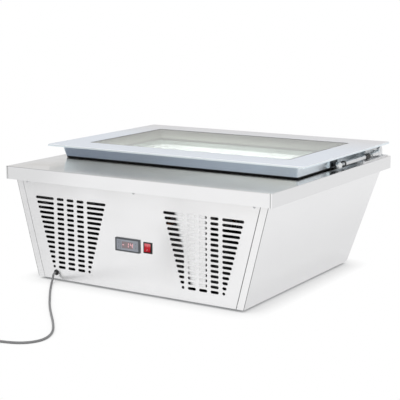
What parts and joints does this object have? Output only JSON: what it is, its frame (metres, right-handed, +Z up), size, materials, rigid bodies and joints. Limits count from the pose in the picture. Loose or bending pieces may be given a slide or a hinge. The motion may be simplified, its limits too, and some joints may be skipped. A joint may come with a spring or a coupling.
{
  "type": "ice cream display freezer",
  "caption": "Low counter-top ice cream display freezer with a tapered sheet-metal body, slotted front vents, a digital controller and a hinged glass lid on gas struts.",
  "frame": {"origin": "on the floor, under the middle of the worktop", "axes": "+X to the right along the long front, +Y to the back, +Z up"},
  "size_m": [0.8, 1.1532, 0.3365],
  "materials": {
    "stainless": "fine brushed stainless sheet",
    "galvanised": "plain galvanised sheet",
    "white_sheet": "white coated sheet",
    "collar_plastic": "pale moulded plastic",
    "lid_grey": "satin anodised aluminium",
    "lid_liner": "dark grey-green moulded plastic",
    "lid_glass": "clear float glass with a green edge",
    "black_rubber": "black rubber",
    "foam": "rigid insulating foam",
    "copper": "bare copper tube",
    "black_paint": "black stove enamel",
    "grey_plastic": "dark grey moulded plastic",
    "face_grey": "grey printed face",
    "display_dark": "dark window with red figures",
    "black_plastic": "black moulded plastic",
    "rocker_red": "red translucent plastic",
    "bright_steel": "bright plated steel",
    "screw_steel": "plated screws",
    "cord_grey": "grey round mains cord"
  },
  "bodies": {
    "cabinet": {"worktop": "stainless", "left_side_panel": "stainless", "right_side_panel": "stainless", "front_panel": "stainless", "rear_panel": "stainless", "front_rail": "galvanised", "base_pan": "galvanised", "feet": "black_rubber", "panel_screws": "screw_steel", "tank": "white_sheet", "tank_collar": "collar_plastic", "insulation": "foam", "bulkhead": "white_sheet", "vent_baffle": "white_sheet", "evaporator_coil": "copper", "temperature_probe": "bright_steel", "compressor": "black_paint", "compressor_mounts": "black_rubber", "compressor_terminal_cover": "black_plastic", "condenser_tube": "black_paint", "condenser_fins": "black_paint", "fan_shroud": "black_paint", "fan_bracket": "galvanised", "fan_motor": "black_paint", "filter_drier": "copper", "discharge_pipe": "copper", "liquid_pipe": "copper", "capillary_tube": "copper", "suction_pipe": "copper", "controller_housing": "grey_plastic", "controller_face": "face_grey", "display_lens": "display_dark", "switch_bezel": "black_plastic", "cable_gland": "black_plastic", "power_cord": "cord_grey", "cord_coil": "cord_grey", "coil_tie": "black_plastic", "plug": "black_plastic", "hinge_base_left": "bright_steel", "hinge_base_right": "bright_steel", "hinge_screws": "screw_steel"},
    "lid": {"lid_frame": "lid_grey", "lid_underframe": "lid_liner", "lid_gasket": "black_rubber", "glazing_seal": "black_rubber", "lid_glass": "lid_glass", "hinge_arm_left": "bright_steel", "hinge_arm_right": "bright_steel", "lid_studs": "bright_steel", "arm_screws": "screw_steel"},
    "strut_cylinder_left": {"strut_cylinder_left": "bright_steel"},
    "strut_cylinder_right": {"strut_cylinder_right": "bright_steel"},
    "strut_rod_left": {"strut_rod_left": "bright_steel"},
    "strut_rod_right": {"strut_rod_right": "bright_steel"},
    "fan_blade": {"fan_blade": "grey_plastic"},
    "switch_rocker": {"switch_rocker": "rocker_red"},
    "key_set": {"key_set": "face_grey"},
    "key_power": {"key_power": "face_grey"},
    "key_up": {"key_up": "face_grey"},
    "key_down": {"key_down": "face_grey"}
  },
  "joints": [
    {"name": "lid_swing", "type": "hinge", "parent": "cabinet", "child": "lid", "pos_m": [0, 0.322, 0.3135], "axis": [-1, 0, 0], "range_deg": [0, 60]},
    {"name": "strut_cylinder_swing_left", "type": "hinge", "parent": "lid", "child": "strut_cylinder_left", "pos_m": [-0.3825, 0.042, 0.3095], "axis": [-1, 0, 0], "range_deg": [0, 6.46]},
    {"name": "strut_rod_swing_left", "type": "hinge", "parent": "cabinet", "child": "strut_rod_left", "pos_m": [-0.3825, 0.29, 0.3095], "axis": [-1, 0, 0], "range_deg": [0, 66.46]},
    {"name": "strut_cylinder_swing_right", "type": "hinge", "parent": "lid", "child": "strut_cylinder_right", "pos_m": [0.3825, 0.042, 0.3095], "axis": [-1, 0, 0], "range_deg": [0, 6.46]},
    {"name": "strut_rod_swing_right", "type": "hinge", "parent": "cabinet", "child": "strut_rod_right", "pos_m": [0.3825, 0.29, 0.3095], "axis": [-1, 0, 0], "range_deg": [0, 66.46]},
    {"name": "fan_spin", "type": "hinge", "parent": "cabinet", "child": "fan_blade", "pos_m": [-0.202, -0.24726, 0.1125], "axis": [0, 1, 0], "continuous": true},
    {"name": "rocker_tilt", "type": "hinge", "parent": "cabinet", "child": "switch_rocker", "pos_m": [0.041, -0.3178, 0.125], "axis": [1, 0, 0], "range_deg": [0, 20]},
    {"name": "key_set_press", "type": "slide", "parent": "cabinet", "child": "key_set", "axis": [0, 1, 0], "range_m": [0, 0.0006], "stiffness_N_per_m": 800, "springref_m": -0.0003},
    {"name": "key_power_press", "type": "slide", "parent": "cabinet", "child": "key_power", "axis": [0, 1, 0], "range_m": [0, 0.0006], "stiffness_N_per_m": 800, "springref_m": -0.0003},
    {"name": "key_up_press", "type": "slide", "parent": "cabinet", "child": "key_up", "axis": [0, 1, 0], "range_m": [0, 0.0006], "stiffness_N_per_m": 800, "springref_m": -0.0003},
    {"name": "key_down_press", "type": "slide", "parent": "cabinet", "child": "key_down", "axis": [0, 1, 0], "range_m": [0, 0.0006], "stiffness_N_per_m": 800, "springref_m": -0.0003}
  ],
  "couplings": [
    {"joint": "strut_cylinder_swing_left", "follows": "lid_swing", "ratio": 0.0994},
    {"joint": "strut_rod_swing_left", "follows": "lid_swing", "ratio": 1.0994},
    {"joint": "strut_cylinder_swing_right", "follows": "lid_swing", "ratio": 0.0994},
    {"joint": "strut_rod_swing_right", "follows": "lid_swing", "ratio": 1.0994}
  ]
}
